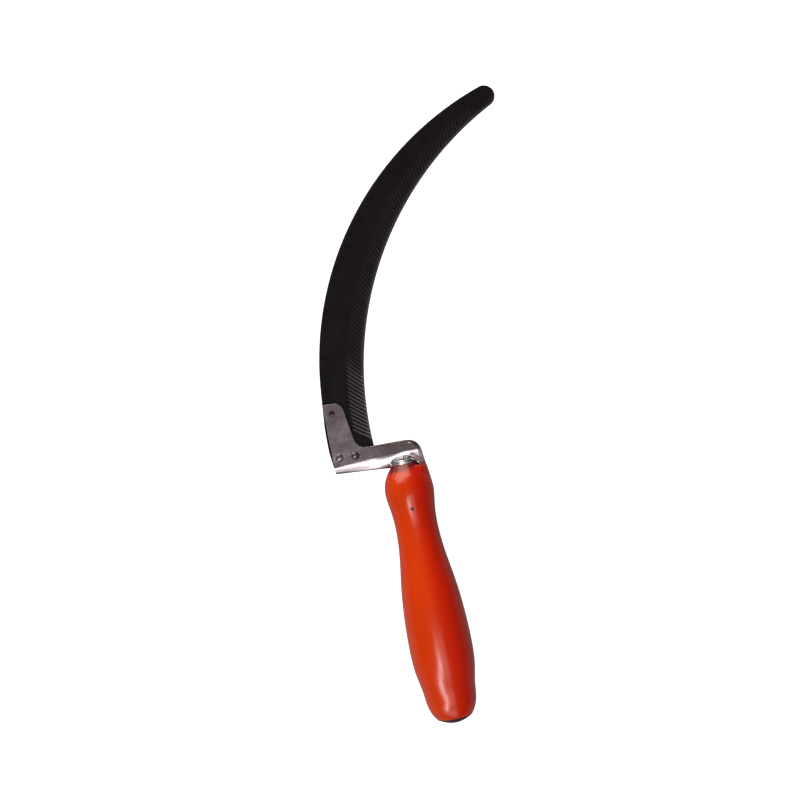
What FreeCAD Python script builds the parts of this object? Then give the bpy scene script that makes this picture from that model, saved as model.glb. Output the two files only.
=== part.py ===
import FreeCAD, Part
import math
import os

from FreeCAD import Vector

# Saw-edged hand sickle, in millimetres. The origin is the centre of the handle's butt. Y runs along
# the handle towards the blade, X points to the cutting side and Z is square to the blade, whose
# middle plane is Z = 0. The two broad sides of the tool are alike, apart from the teeth.

# Blade: a crescent between two arcs that meet in a rounded tip.
BLADE_THICKNESS = 1.4
SPINE_CENTRE = Vector(122.05, 159.8, 0)
SPINE_RADIUS = 156.5
SPINE_LOW_Y = 173.0
EDGE_CENTRE = Vector(151.35, 151.5, 0)
EDGE_RADIUS = 164.45
EDGE_LOW_Y = 149.0
TIP_RADIUS = 5.45
HEEL_BOTTOM_Y = 135.8
HEEL_RIGHT_X = -13.2
# The heel's back: (x, y, fillet radius) down from the foot of the spine's arc.
HEEL_BACK = ((-35.5, 156.0, 60.0), (-35.65, 144.0, 30.0), (-34.75, HEEL_BOTTOM_Y, 1.0))
HEEL_RIGHT_FILLET = 2.0

# Saw edge: the back is ground to a thin edge, and slanting grooves are cut into the front.
EDGE_THICKNESS = 0.35
BEVEL_WIDTH = 7.0
BEVEL_OVERRUN = 2.0
BEVEL_PAST_TIP = 5.0
GROOVE_PITCH = 2.0
GROOVE_SLANT = 35.0
GROOVE_BAND = 9.0
GROOVE_DEPTH = 0.42
GROOVE_HALF_WIDTH = 0.74
GROOVE_RUN_OUT = 1.5
TEETH_LOW_Y = 145.5
PLAIN_TIP_LENGTH = 12.0

# Holder: one sheet folded round the heel. The fold opens from a small bead into a wide channel, the
# neck, which is closed by an end wall. Each station along it is X, half width, height of the widest
# point, height of the fold's bottom, half width at the lip, and height of the lip. The sides are
# straight above the widest point, and the neck opens on an eased curve in a few even steps.
SHEET = 1.2
CHEEK_HALF_WIDTH = BLADE_THICKNESS / 2 + SHEET
BEAD = (-34.45, 2.0, 135.9, 132.65, CHEEK_HALF_WIDTH, 138.0)
CHEEK_END = (-17.0, 2.05, 137.8, 131.3, CHEEK_HALF_WIDTH, 143.15)
NECK = (3.55, 6.5, 137.6, 129.5, 6.2, 142.5)
NECK_STEPS = 5
# The fold's half width falls as (1 - drop ** FOLD_BEND) ** FOLD_ROUND below its widest point.
FOLD_BEND = 1.5
FOLD_ROUND = 0.6
LIP_RISE = 0.1
ARM_TOP_Y = 167.9
ARM_TOP_FILLET = 1.8
ARM_SHOULDER = (-24.95, ARM_TOP_Y - 0.5, 4.5)
ARM_FOOT = (-21.45, CHEEK_END[5] + 0.2, 6.5)
CHEEK_OVERLAP = 0.6

# End wall: it turns the upper corner on an arc and runs down over the handle's shoulder as a tongue.
CORNER_RADIUS = 6.5
CORNER_CENTRE_Y = 136.0
CORNER_ROUNDING = 1.9
END_ROOM = 12.0
TONGUE_RADIUS = 7.75
TONGUE_BOTTOM_Y = 126.4

# Ferrule: a domed steel cap on the end of the handle. The neck is notched to fit over it and its weld.
FERRULE_RADIUS = 6.6
FERRULE_FOOT_RADIUS = 6.1
FERRULE_SWELL = (6.45, 132.1)
FERRULE_WALL = 1.0
FERRULE_SHOULDER_Y = 133.0
FERRULE_TOP_Y = 135.3
DOME_MIDDLE = (0.62, 0.78)
NOTCH_LEFT = Vector(-6.75, 133.4, 0)
NOTCH_CROWN = Vector(0.6, 135.5, 0)
NOTCH_RIGHT = Vector(7.3, 132.4, 0)

# Tang: a steel rod welded into the neck and driven down the handle.
TANG_RADIUS = 3.5
TANG_BOTTOM_Y = 72.0
TANG_TOP_Y = 142.0

# Handle: turned wood. Each pair is a distance from the butt and the radius there.
HANDLE_LENGTH = 131.2
BUTT_FLAT_RADIUS = 2.6
BUTT_RIM_Y = 3.0
BUTT_RIM_RADIUS = 9.3
BUTT_MIDDLE_Y = 1.15
HANDLE_SHAPE = (
    (6.0, 11.15),
    (9.5, 12.4),
    (17.0, 13.4),
    (26.0, 15.05),
    (39.0, 15.9),
    (55.0, 15.35),
    (71.0, 13.75),
    (84.0, 11.8),
    (97.5, 10.68),
    (109.5, 11.35),
    (117.5, 12.33),
    (123.5, 11.4),
    (127.0, 9.7),
    (129.3, 8.05),
    (131.2, 6.7),
)

# Fasteners.
RIVET_RADIUS = 1.25
RIVET_HEAD_RADIUS = 1.55
RIVET_HEAD_HEIGHT = 0.8
LOW_HEAD_HEIGHT = 0.45
FLUSH_HEAD_RADIUS = 1.35
FLUSH_HEAD_HEIGHT = 0.12
RIVET_TOP_PLACE = Vector(-30.5, 163.1, 0)
RIVET_HEEL_PLACE = Vector(-30.85, 140.8, 0)
RIVET_NECK_PLACE = Vector(-23.1, 140.3, 0)
NAIL_PLACE = Vector(-0.3, 109.4, 0)
NAIL_RADIUS = 0.75
NAIL_HEAD_RADIUS = 1.0
NAIL_HEAD_THICKNESS = 0.6
NAIL_HEAD_TOP_Z = 11.5
NAIL_POINT_Z = -8.0

X_AXIS = Vector(1, 0, 0)
Y_AXIS = Vector(0, 1, 0)
Z_AXIS = Vector(0, 0, 1)
FRONT = BLADE_THICKNESS / 2
THROUGH = 20.0
OVERCUT = 0.3
FOLD_STEPS = 8


def line(start, end):
    return Part.LineSegment(start, end).toShape()


def arc(start, middle, end):
    return Part.Arc(start, middle, end).toShape()


def on_circle(centre, radius, degrees):
    turn = math.radians(degrees)
    return centre + Vector(radius * math.cos(turn), radius * math.sin(turn), 0)


def angle_at_height(centre, radius, height):
    """Angle of the point on a circle's left half that lies at the given Y."""
    return 180 - math.degrees(math.asin((height - centre.y) / radius))


def arc_on_circle(centre, radius, start, end):
    middle = on_circle(centre, radius, (start + end) / 2)
    return arc(on_circle(centre, radius, start), middle, on_circle(centre, radius, end))


def angle_of(centre, point):
    offset = point - centre
    return math.degrees(math.atan2(offset.y, offset.x))


def circles_crossing(centre_a, radius_a, centre_b, radius_b):
    """The upper crossing of two circles."""
    gap = centre_b - centre_a
    along = (gap.Length**2 + radius_a**2 - radius_b**2) / (2 * gap.Length)
    aside = math.sqrt(radius_a**2 - along**2)
    unit = gap / gap.Length
    side = Vector(-unit.y, unit.x, 0)
    crossings = [centre_a + unit * along + side * aside * sign for sign in (1, -1)]
    return max(crossings, key=lambda point: point.y)


def corner_arc(before, corner, after, radius):
    """The two tangent points and the middle of a fillet at a corner of an outline."""
    to_before = (before - corner).normalize()
    to_after = (after - corner).normalize()
    half = to_before.getAngle(to_after) / 2
    reach = radius / math.tan(half)
    bisector = (to_before + to_after).normalize()
    middle = corner + bisector * (radius / math.sin(half) - radius)
    return corner + to_before * reach, middle, corner + to_after * reach


def rounded_run(points):
    """Edges along a run of (x, y, radius), with a fillet at each inner point that has a radius."""
    places = [Vector(x, y, 0) for x, y, radius in points]
    edges = []
    start = places[0]
    for index in range(1, len(points) - 1):
        radius = points[index][2]
        if not radius:
            edges.append(line(start, places[index]))
            start = places[index]
            continue
        fillet = corner_arc(places[index - 1], places[index], places[index + 1], radius)
        edges.append(line(start, fillet[0]))
        edges.append(arc(*fillet))
        start = fillet[2]
    edges.append(line(start, places[-1]))
    return edges


def plate(edges, bottom, top):
    """A flat plate with the given outline, between two heights in Z."""
    wire = Part.Wire(Part.__sortEdges__(edges))
    wire.translate(Vector(0, 0, bottom))
    return Part.Face(wire).extrude(Vector(0, 0, top - bottom))


def polyhedron(corners, faces):
    sides = []
    for face in faces:
        loop = [corners[index] for index in face]
        sides.append(Part.Face(Part.makePolygon(loop + loop[:1])))
    return Part.Solid(Part.Shell(sides))


def pin(place, radius, bottom, top):
    return Part.makeCylinder(radius, top - bottom, place + Vector(0, 0, bottom), Z_AXIS)


def blade_outline():
    tip = circles_crossing(
        SPINE_CENTRE, SPINE_RADIUS - TIP_RADIUS, EDGE_CENTRE, EDGE_RADIUS + TIP_RADIUS
    )
    edge_low = angle_at_height(EDGE_CENTRE, EDGE_RADIUS, EDGE_LOW_Y)
    edge_high = angle_of(EDGE_CENTRE, tip)
    spine_low = angle_at_height(SPINE_CENTRE, SPINE_RADIUS, SPINE_LOW_Y)
    spine_high = angle_of(SPINE_CENTRE, tip)
    edge_start = on_circle(EDGE_CENTRE, EDGE_RADIUS, edge_low)
    edge_end = on_circle(EDGE_CENTRE, EDGE_RADIUS, edge_high)
    spine_start = on_circle(SPINE_CENTRE, SPINE_RADIUS, spine_low)
    spine_end = on_circle(SPINE_CENTRE, SPINE_RADIUS, spine_high)
    across = (spine_end - edge_end).normalize()
    forward = Vector(across.y, -across.x, 0)
    heel = [
        (spine_start.x, spine_start.y, 0),
        *HEEL_BACK,
        (HEEL_RIGHT_X, HEEL_BOTTOM_Y, HEEL_RIGHT_FILLET),
        (edge_start.x, edge_start.y, 0),
    ]
    edges = rounded_run(heel)
    edges.append(arc_on_circle(EDGE_CENTRE, EDGE_RADIUS, edge_low, edge_high))
    edges.append(arc(edge_end, tip + forward * TIP_RADIUS, spine_end))
    edges.append(arc_on_circle(SPINE_CENTRE, SPINE_RADIUS, spine_high, spine_low))
    return edges, edge_high


def bevel_cutter(high_angle):
    """The metal ground off the back: a flat cone about the centre of the edge's arc."""
    slope = (BLADE_THICKNESS - EDGE_THICKNESS) / BEVEL_WIDTH
    inside = EDGE_RADIUS - BEVEL_OVERRUN
    outside = EDGE_RADIUS + BEVEL_WIDTH + BEVEL_OVERRUN
    edge_z = FRONT - EDGE_THICKNESS
    corners = [
        Vector(inside, 0, edge_z + BEVEL_OVERRUN * slope),
        Vector(outside, 0, edge_z - (outside - EDGE_RADIUS) * slope),
        Vector(inside, 0, -BLADE_THICKNESS * 2),
    ]
    face = Part.Face(Part.makePolygon(corners + corners[:1]))
    beyond_tip = high_angle - BEVEL_PAST_TIP
    low_angle = angle_at_height(EDGE_CENTRE, EDGE_RADIUS, TEETH_LOW_Y)
    face.rotate(Vector(0, 0, 0), Z_AXIS, beyond_tip)
    face.translate(EDGE_CENTRE)
    return face.revolve(EDGE_CENTRE, Z_AXIS, low_angle - beyond_tip)


def groove_cutter(degrees):
    """One saw groove: a long thin tetrahedron that rises out of the front face away from the edge."""
    turn = math.radians(degrees)
    slant = math.radians(GROOVE_SLANT)
    inward = Vector(math.cos(turn), math.sin(turn), 0)
    to_heel = Vector(-inward.y, inward.x, 0)
    along = inward * math.cos(slant) - to_heel * math.sin(slant)
    aside = Vector(-along.y, along.x, 0)
    length = GROOVE_BAND / math.cos(slant)
    # The groove's floor falls steadily towards the edge and is carried past it, and above the face.
    fall = GROOVE_DEPTH / length
    start_depth = GROOVE_DEPTH + fall * GROOVE_RUN_OUT
    start = EDGE_CENTRE + inward * EDGE_RADIUS - along * GROOVE_RUN_OUT
    end = start + along * (start_depth + OVERCUT) / fall
    half = GROOVE_HALF_WIDTH * (start_depth + OVERCUT) / GROOVE_DEPTH
    top = Vector(0, 0, FRONT + OVERCUT)
    corners = [
        start + Vector(0, 0, FRONT - start_depth),
        start + top + aside * half,
        start + top - aside * half,
        end + top,
    ]
    return polyhedron(corners, [(0, 1, 2), (0, 3, 1), (0, 2, 3), (1, 3, 2)])


def groove_angles(high_angle):
    low = angle_at_height(EDGE_CENTRE, EDGE_RADIUS, TEETH_LOW_Y)
    step = math.degrees(GROOVE_PITCH / EDGE_RADIUS)
    high = high_angle + math.degrees(PLAIN_TIP_LENGTH / EDGE_RADIUS)
    return [low - index * step for index in range(int((low - high) / step))]


def make_blade():
    outline, high_angle = blade_outline()
    blade = plate(outline, -FRONT, FRONT)
    cutters = [bevel_cutter(high_angle)]
    for place in (RIVET_TOP_PLACE, RIVET_HEEL_PLACE, RIVET_NECK_PLACE):
        cutters.append(pin(place, RIVET_RADIUS, -THROUGH, THROUGH))
    for degrees in groove_angles(high_angle):
        cutters.append(groove_cutter(degrees))
    return blade.cut(cutters)


def half_width(height, half, widest_y, bottom_y, lip_half, lip_y):
    """Half the width of the fold at a height: a round bottom with a straight side above it."""
    if height > widest_y:
        return half + (lip_half - half) * (height - widest_y) / (lip_y - widest_y)
    drop = min(1, (widest_y - height) / (widest_y - bottom_y))
    return half * (1 - drop**FOLD_BEND) ** FOLD_ROUND


def neck_section(station, inset, rise):
    """A teardrop across the holder: a round fold whose sides close in to two lips."""
    x, half, widest_y, bottom_y, lip_half, lip_y = station
    shape = (half - inset, widest_y, bottom_y + inset, lip_half - inset, lip_y)
    right = []
    for step in range(FOLD_STEPS + 1):
        turn = math.pi * step / FOLD_STEPS
        height = widest_y - (widest_y - bottom_y - inset) * (1 + math.cos(turn)) / 2
        right.append(Vector(x, height, half_width(height, *shape)))
    for step in range(1, FOLD_STEPS + 1):
        height = widest_y + (lip_y - widest_y) * step / FOLD_STEPS
        right.append(Vector(x, height, half_width(height, *shape)))
    left = [Vector(point.x, point.y, -point.z) for point in right[:0:-1]]
    curve = Part.BSplineCurve()
    curve.interpolate(left + right)
    lip_left, lip_right = left[0], right[-1]
    lift = Vector(0, rise, 0)
    return Part.Wire(
        [
            curve.toShape(),
            line(lip_right, lip_right + lift),
            line(lip_right + lift, lip_left + lift),
            line(lip_left + lift, lip_left),
        ]
    )


def cheek_z(place):
    """How far the holder's outer face stands from the middle plane at a rivet."""
    share = (place.x - BEAD[0]) / (CHEEK_END[0] - BEAD[0])
    station = [low + share * (high - low) for low, high in zip(BEAD, CHEEK_END)]
    if place.y > station[5]:
        return CHEEK_HALF_WIDTH
    return half_width(place.y, *station[1:])


def neck_station(share):
    """A station between the end of the cheeks and the end wall. Its width opens gently."""
    eased = share * share * (3 - 2 * share)
    shares = (share, eased, share, share, eased, share)
    return [low + part * (high - low) for low, high, part in zip(CHEEK_END, NECK, shares)]


def neck_body(inset, rise):
    """The fold and neck as a solid, pulled in by inset at the sides and raised at the lips."""
    opening = [neck_station(step / NECK_STEPS) for step in range(NECK_STEPS + 1)]
    sections = [neck_section(station, inset, rise) for station in [BEAD] + opening]
    return Part.makeLoft(sections, True, True)


def end_outline(inset):
    """The end of the neck seen square to the blade: a rounded corner that runs on into the tongue."""
    x = NECK[0]
    radius = CORNER_RADIUS - inset
    corner = Vector(x, CORNER_CENTRE_Y, 0)
    foot = Vector(x + TONGUE_RADIUS - inset, TONGUE_BOTTOM_Y, 0)
    inner_foot = Vector(x, TONGUE_BOTTOM_Y, 0)
    leaving = angle_of(corner, foot) + math.degrees(math.acos(radius / (foot - corner).Length))
    return [
        arc_on_circle(corner, radius, 90, leaving),
        line(on_circle(corner, radius, leaving), foot),
        line(foot, inner_foot),
        line(inner_foot, on_circle(corner, radius, 90)),
    ]


def neck_end(inset):
    """The closed end of the neck, and the round skirt below it that the tongue is cut from."""
    x = NECK[0]
    section = Part.Face(neck_section(NECK, inset, LIP_RISE))
    wall = plate(end_outline(inset), -THROUGH, THROUGH)
    end = section.extrude(Vector(END_ROOM, 0, 0)).common(wall)
    rounding = CORNER_ROUNDING - inset
    if rounding > 0:
        end = end.makeFillet(rounding, corner_edges(end))
    skirt = Part.makeCone(
        TONGUE_RADIUS - inset,
        CORNER_RADIUS - inset,
        CORNER_CENTRE_Y - TONGUE_BOTTOM_Y,
        Vector(x, TONGUE_BOTTOM_Y, 0),
        Y_AXIS,
    )
    right_half = Part.makeBox(THROUGH, 2 * THROUGH, 2 * THROUGH)
    right_half.translate(Vector(x, CORNER_CENTRE_Y - THROUGH, -THROUGH))
    return end.fuse(skirt.common(right_half))


def corner_edges(end):
    """The curved edges where the end wall's outside meets the neck's two sides and its fold."""
    chosen = []
    for edge in end.Edges:
        middle = edge.valueAt((edge.FirstParameter + edge.LastParameter) / 2)
        if middle.x > NECK[0] + OVERCUT and not isinstance(edge.Curve, Part.Line):
            chosen.append(edge)
    return chosen


def ferrule_notch():
    """The arch cut through the neck so that it fits over the ferrule."""
    foot_left = Vector(NOTCH_LEFT.x, TONGUE_BOTTOM_Y - OVERCUT, 0)
    foot_right = Vector(NOTCH_RIGHT.x, foot_left.y, 0)
    edges = [
        arc(NOTCH_LEFT, NOTCH_CROWN, NOTCH_RIGHT),
        line(NOTCH_RIGHT, foot_right),
        line(foot_right, foot_left),
        line(foot_left, NOTCH_LEFT),
    ]
    return plate(edges, -THROUGH, THROUGH)


def cheek(bottom, top):
    """One flat cheek: the arm along the blade's back and the foot along the fold."""
    low_left = (BEAD[0], BEAD[5] - CHEEK_OVERLAP, 0)
    right = (CHEEK_END[0], CHEEK_END[5], 0)
    top_left = (BEAD[0], ARM_TOP_Y, ARM_TOP_FILLET)
    outline = rounded_run([low_left, top_left, ARM_SHOULDER, ARM_FOOT, right])
    outline.append(line(Vector(*right), Vector(*low_left)))
    return plate(outline, bottom, top)


def holder_body():
    """The holder before it is hollowed: fold, neck, round end and both cheeks."""
    cheeks = [cheek(FRONT, CHEEK_HALF_WIDTH), cheek(-CHEEK_HALF_WIDTH, -FRONT)]
    return neck_body(0, LIP_RISE).fuse([neck_end(0)] + cheeks)


def make_holder(body):
    hollow = neck_body(SHEET, LIP_RISE + OVERCUT).fuse(neck_end(SHEET))
    cutters = [hollow, ferrule_notch()]
    for place in (RIVET_TOP_PLACE, RIVET_HEEL_PLACE, RIVET_NECK_PLACE):
        cutters.append(pin(place, RIVET_RADIUS, -THROUGH, THROUGH))
    return body.cut(cutters)


def make_rivet(place, head_radius, head_height, body):
    """A shank through both cheeks, with a low dome bedded on each."""
    top = cheek_z(place) + head_height
    dome_radius = (head_radius**2 + head_height**2) / (2 * head_height)
    dome_z = top - dome_radius
    shank_end = dome_z + math.sqrt(dome_radius**2 - RIVET_RADIUS**2)
    front = Part.makeSphere(dome_radius, place + Vector(0, 0, dome_z))
    back = Part.makeSphere(dome_radius, place - Vector(0, 0, dome_z))
    front_head = pin(place, head_radius, FRONT, top).common(front).cut(body)
    back_head = pin(place, head_radius, -top, -FRONT).common(back).cut(body)
    return pin(place, RIVET_RADIUS, -shank_end, shank_end).fuse([front_head, back_head])


def turned(edges):
    """A solid turned about the handle's axis from an outline in the XY plane."""
    return Part.Face(Part.Wire(Part.__sortEdges__(edges))).revolve(Vector(0, 0, 0), Y_AXIS, 360)


def ferrule_cap(inset, low_y):
    """The ferrule's outside, or its inside when inset, filled down to a height."""
    foot = Vector(FERRULE_FOOT_RADIUS - inset, HANDLE_LENGTH, 0)
    swell = Vector(FERRULE_SWELL[0] - inset, FERRULE_SWELL[1], 0)
    shoulder = Vector(FERRULE_RADIUS - inset, FERRULE_SHOULDER_Y, 0)
    top = Vector(0, FERRULE_TOP_Y - inset, 0)
    rise = top.y - shoulder.y
    dome_middle = Vector(shoulder.x * DOME_MIDDLE[0], shoulder.y + rise * DOME_MIDDLE[1], 0)
    base = Vector(foot.x, low_y, 0)
    axis_low = Vector(0, low_y, 0)
    edges = [
        line(axis_low, base),
        arc(foot, swell, shoulder),
        arc(shoulder, dome_middle, top),
        line(top, axis_low),
    ]
    if low_y < foot.y:
        edges.append(line(base, foot))
    return turned(edges)


def make_ferrule():
    """A domed cap with an even wall, open below, with a hole in its crown for the tang."""
    hole = Part.makeCylinder(TANG_RADIUS, THROUGH, Vector(0, HANDLE_LENGTH, 0), Y_AXIS)
    inside = ferrule_cap(FERRULE_WALL, HANDLE_LENGTH - OVERCUT)
    return ferrule_cap(0, HANDLE_LENGTH).cut([inside, hole])


def nail_hole():
    return pin(NAIL_PLACE, NAIL_RADIUS, NAIL_POINT_Z, NAIL_HEAD_TOP_Z)


def make_tang(holder):
    """A rod that ends against the inside of the neck and is pinned in the handle by the nail."""
    rod = Part.makeCylinder(
        TANG_RADIUS, TANG_TOP_Y - TANG_BOTTOM_Y, Vector(0, TANG_BOTTOM_Y, 0), Y_AXIS
    )
    inside = neck_body(SHEET, LIP_RISE).fuse(neck_end(SHEET))
    below_neck = Part.makeCylinder(
        TANG_RADIUS, NECK[2] - TANG_BOTTOM_Y, Vector(0, TANG_BOTTOM_Y, 0), Y_AXIS
    )
    fitted = rod.common(inside.fuse(below_neck)).cut([holder, nail_hole()])
    return max(fitted.Solids, key=lambda solid: solid.Volume)


def make_nail():
    shank = nail_hole()
    head = pin(
        NAIL_PLACE, NAIL_HEAD_RADIUS, NAIL_HEAD_TOP_Z - NAIL_HEAD_THICKNESS, NAIL_HEAD_TOP_Z
    )
    return shank.fuse(head)


def make_handle(holder, nail):
    """The turned handle, bored for the tang and let in for the neck's tongue and the nail."""
    flat = Vector(BUTT_FLAT_RADIUS, 0, 0)
    rim = Vector(BUTT_RIM_RADIUS, BUTT_RIM_Y, 0)
    butt_middle = Vector((BUTT_FLAT_RADIUS + BUTT_RIM_RADIUS) / 2, BUTT_MIDDLE_Y, 0)
    curve = Part.BSplineCurve()
    curve.interpolate([rim] + [Vector(radius, y, 0) for y, radius in HANDLE_SHAPE])
    end = Vector(HANDLE_SHAPE[-1][1], HANDLE_LENGTH, 0)
    edges = [
        line(Vector(0, 0, 0), flat),
        arc(flat, butt_middle, rim),
        curve.toShape(),
        line(end, Vector(0, HANDLE_LENGTH, 0)),
        line(Vector(0, HANDLE_LENGTH, 0), Vector(0, 0, 0)),
    ]
    bore = Part.makeCylinder(
        TANG_RADIUS, HANDLE_LENGTH - TANG_BOTTOM_Y, Vector(0, TANG_BOTTOM_Y, 0), Y_AXIS
    )
    return turned(edges).cut([bore, holder, nail])


def main():
    body = holder_body()
    holder = make_holder(body)
    nail = make_nail()
    shapes = {
        "blade": make_blade(),
        "holder": holder,
        "rivet_top": make_rivet(RIVET_TOP_PLACE, FLUSH_HEAD_RADIUS, FLUSH_HEAD_HEIGHT, body),
        "rivet_heel": make_rivet(RIVET_HEEL_PLACE, RIVET_HEAD_RADIUS, LOW_HEAD_HEIGHT, body),
        "rivet_neck": make_rivet(RIVET_NECK_PLACE, RIVET_HEAD_RADIUS, RIVET_HEAD_HEIGHT, body),
        "ferrule": make_ferrule(),
        "tang": make_tang(holder),
        "handle": make_handle(holder, nail),
        "handle_nail": nail,
    }
    for node, shape in shapes.items():
        print(node, len(shape.Solids), shape.isValid(), round(shape.Volume, 1))
        shape.exportStep("parts/" + node + ".step")


os.makedirs("parts", exist_ok=True)
main()
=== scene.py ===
import math

import bmesh
import bpy
import numpy as np
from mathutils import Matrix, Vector
from mathutils.bvhtree import BVHTree


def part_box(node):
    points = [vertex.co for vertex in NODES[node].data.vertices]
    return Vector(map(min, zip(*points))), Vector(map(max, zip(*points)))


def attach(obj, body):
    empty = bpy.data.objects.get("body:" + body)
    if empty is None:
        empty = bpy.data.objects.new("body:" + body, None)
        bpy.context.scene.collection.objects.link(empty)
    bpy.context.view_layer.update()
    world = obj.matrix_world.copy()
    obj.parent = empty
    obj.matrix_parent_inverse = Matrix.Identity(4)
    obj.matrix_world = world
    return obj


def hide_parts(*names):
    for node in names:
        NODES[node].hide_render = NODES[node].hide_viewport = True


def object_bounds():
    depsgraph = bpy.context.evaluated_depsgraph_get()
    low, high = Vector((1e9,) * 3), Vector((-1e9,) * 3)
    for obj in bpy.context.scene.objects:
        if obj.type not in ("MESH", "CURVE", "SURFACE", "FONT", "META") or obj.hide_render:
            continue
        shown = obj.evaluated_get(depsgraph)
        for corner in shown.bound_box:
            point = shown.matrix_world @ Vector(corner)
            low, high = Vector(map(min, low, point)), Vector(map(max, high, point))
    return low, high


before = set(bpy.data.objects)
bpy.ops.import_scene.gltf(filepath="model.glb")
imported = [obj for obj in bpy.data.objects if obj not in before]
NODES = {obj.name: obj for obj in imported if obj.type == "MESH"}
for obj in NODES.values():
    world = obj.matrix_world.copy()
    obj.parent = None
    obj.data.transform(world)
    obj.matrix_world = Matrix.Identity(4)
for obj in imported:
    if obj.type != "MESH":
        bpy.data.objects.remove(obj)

CAD_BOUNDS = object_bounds()
MM = 0.001

# The blade's edge is an arc about this centre, and its tip is a small circle (millimetres).
EDGE_CENTRE = np.array([151.35, 151.5])
EDGE_RADIUS = 164.45
TIP_RADIUS = 5.45
BLADE_HALF = 0.7
EDGE_THICKNESS = 0.35
BEVEL_WIDTH = 7.0
TOOTH_PITCH = 2.0
TOOTH_SLANT = math.radians(35.0)
TOOTH_BAND = 9.0
SECTIONS_PER_TOOTH = 8
TEETH_LOW_Y = 145.5
PLAIN_TIP = 12.0

# The share of each tooth that its steep flank takes, and the tooth's depth and burr.
STEEP_SHARE = 0.3
GROOVE_DEPTH = 0.42
BURR_HEIGHT = 0.07
# The cuts are at full strength for this length from the lowest tooth, and weak after it.
STRONG_TO = (29, 38)
STRONG_LOSS = 0.78
SPINE_ROUNDING = 0.28

# The holder's fold at three stations (millimetres): X, half width, height of the widest point,
# height of the bottom, half width at the lip, height of the lip. The widest point of the middle one
# is 0.7 mm below the CAD's, so that the highlight along the fold runs straight.
BEAD = np.array([-34.45, 2.0, 135.9, 132.65, 1.9, 138.0])
CHEEK_END = np.array([-17.0, 2.05, 137.1, 131.3, 1.9, 143.15])
NECK = np.array([3.55, 6.5, 137.6, 129.5, 6.2, 142.5])
CHEEK_HALF = 1.9
CORNER = np.array([3.55, 136.0])
CORNER_RADIUS = 6.5
FOLD_BEND = 1.5
FOLD_ROUND = 0.6
SHEET_VOXEL = 0.18
SKIRT_TOP_Y = 136.0
SKIRT_FLARE = 0.13
NOTCH = ((-6.75, 133.4), (0.6, 135.5), (7.3, 132.4))
PAINT_LINE_Y = 129.4
PAINT_THICKNESS = 0.10
TARGET = Vector((0.0, 0.1, 0.0))

# The floor's tone in reflections, its glow to the camera, and the tone of the room.
FLOOR_TONE = 0.30
FLOOR_GLOW = 1.1
SURROUND = (0.12, 0.105, 0.11)


# ---------------------------------------------------------------- meshes

def add_object(name, vertices, faces):
    """A mesh object from points in millimetres."""
    mesh = bpy.data.meshes.new(name)
    mesh.from_pydata([tuple(point) for point in np.asarray(vertices) * MM], [], faces)
    mesh.validate()
    mesh.update()
    mesh.polygons.foreach_set("use_smooth", [True] * len(mesh.polygons))
    piece = bpy.data.objects.new(name, mesh)
    bpy.context.scene.collection.objects.link(piece)
    return piece


def ring_mesh(name, rings):
    """A closed skin over rings of points. Every ring has the same number of points."""
    rings = np.asarray(rings)
    count, around = rings.shape[:2]
    faces = []
    for i in range(count - 1):
        for j in range(around):
            k = (j + 1) % around
            low, high = i * around, (i + 1) * around
            faces.append((low + j, low + k, high + k, high + j))
    vertices = rings.reshape(-1, 3)
    first, last = len(vertices), len(vertices) + 1
    vertices = np.vstack([vertices, rings[0].mean(axis=0), rings[-1].mean(axis=0)])
    base = (count - 1) * around
    for j in range(around):
        k = (j + 1) % around
        faces.append((first, k, j))
        faces.append((last, base + j, base + k))
    piece = add_object(name, vertices, faces)
    face_outward(piece)
    return piece


def face_outward(piece):
    shape = bmesh.new()
    shape.from_mesh(piece.data)
    bmesh.ops.recalc_face_normals(shape, faces=shape.faces)
    shape.to_mesh(piece.data)
    shape.free()


def store(piece, name, values):
    """Keeps one number for each vertex, for the material to read."""
    attribute = piece.data.attributes.new(name, "FLOAT", "POINT")
    attribute.data.foreach_set("value", np.asarray(values, dtype=np.float32))


def smooth_noise(points, scale, seed):
    """Cheap smooth noise between -1 and 1: a few sine waves in random directions."""
    rng = np.random.default_rng(seed)
    total = np.zeros(len(points))
    for _ in range(7):
        direction = rng.normal(size=3)
        direction *= rng.uniform(0.6, 1.6) / np.linalg.norm(direction)
        total += np.sin(points @ direction * (2 * math.pi / scale) + rng.uniform(0, 6.28))
    return total / 4.0


def smoothstep(low, high, value):
    share = np.clip((value - low) / (high - low), 0.0, 1.0)
    return share * share * (3 - 2 * share)


# ---------------------------------------------------------------- materials

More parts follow.
